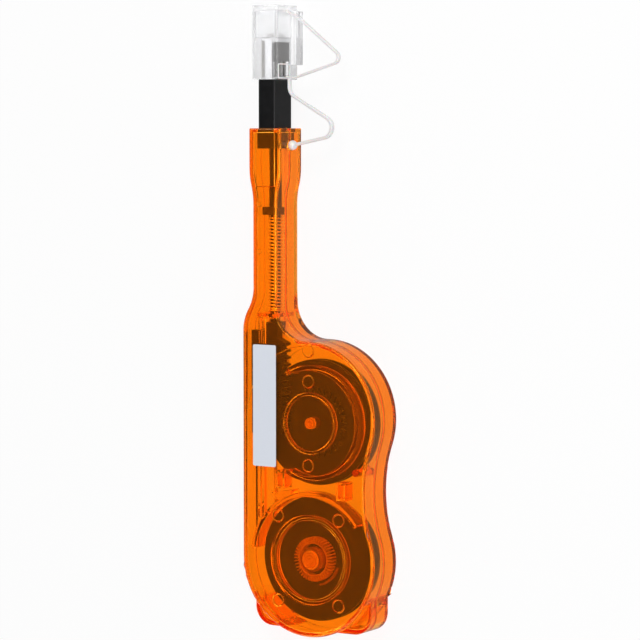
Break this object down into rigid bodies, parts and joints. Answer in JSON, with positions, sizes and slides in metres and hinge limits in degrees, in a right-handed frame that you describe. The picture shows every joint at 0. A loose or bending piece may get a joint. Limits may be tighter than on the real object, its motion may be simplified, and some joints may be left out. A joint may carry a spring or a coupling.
{
  "type": "fibre connector cleaning pen",
  "caption": "One-push cleaning pen for multi-fibre connectors: clear orange housing with two tape reels, sprung nozzle and tethered guide cap.",
  "frame": {"origin": "on the flat back face, on the axis of the supply reel", "axes": "+X to the right seen from the front, +Y along the pen towards the nozzle and the guide cap, +Z from the back face to the front face"},
  "size_m": [0.0548, 0.2244, 0.0161],
  "materials": {
    "clear_orange": "clear",
    "label_white": "satin",
    "frosted_clear": "frosted",
    "black_plastic": "satin",
    "smoky_plastic": "satin",
    "grey_plastic": "satin",
    "spring_steel": "dark",
    "white_tape": "woven"
  },
  "bodies": {
    "housing": {"front_shell": "clear_orange", "back_shell": "clear_orange", "label": "label_white", "stop_pawl": "clear_orange", "tape_feed_run": "white_tape", "tape_return_run": "white_tape", "return_spring": "spring_steel", "cap_strap": "frosted_clear"},
    "plunger": {"carriage": "black_plastic", "core_rod": "black_plastic", "spring_seat": "black_plastic", "nozzle_sleeve": "black_plastic", "tip_guide": "grey_plastic", "cleaning_head": "grey_plastic", "cap_strap_end": "frosted_clear"},
    "takeup_reel": {"takeup_spool": "black_plastic", "takeup_flange": "black_plastic", "takeup_tape": "white_tape", "drive_gear": "black_plastic"},
    "supply_reel": {"supply_spool": "smoky_plastic", "supply_flange": "smoky_plastic", "supply_tape": "white_tape", "hub_collar": "clear_orange", "detent_ring": "clear_orange", "detent_arm": "clear_orange"},
    "cap": {"guide_cap": "frosted_clear", "lid_strap": "frosted_clear"},
    "lid": {"cap_lid": "frosted_clear"}
  },
  "joints": [
    {"name": "nozzle_push", "type": "slide", "parent": "housing", "child": "plunger", "axis": [0, 1, 0], "range_m": [-0.012, 0], "stiffness_N_per_m": 400, "springref_m": 0.01, "deforming": ["return_spring", "tape_feed_run", "tape_return_run", "cap_strap"]},
    {"name": "takeup_spin", "type": "hinge", "parent": "housing", "child": "takeup_reel", "pos_m": [0, 0.0488, 0], "axis": [0, 0, 1], "range_deg": [0, 61]},
    {"name": "supply_spin", "type": "hinge", "parent": "housing", "child": "supply_reel", "pos_m": [0, 0, 0], "axis": [0, 0, 1], "range_deg": [-29.5, 0]},
    {"name": "cap_pull", "type": "slide", "parent": "plunger", "child": "cap", "axis": [0, 1, 0], "range_m": [0, 0.02], "deforming": ["cap_strap_end"]},
    {"name": "lid_pull", "type": "slide", "parent": "cap", "child": "lid", "axis": [0, 1, 0], "range_m": [0, 0.014], "deforming": ["lid_strap"]}
  ],
  "couplings": [
    {"joint": "takeup_spin", "follows": "nozzle_push", "rad_per_m": -86.207},
    {"joint": "supply_spin", "follows": "nozzle_push", "rad_per_m": 40.23}
  ]
}
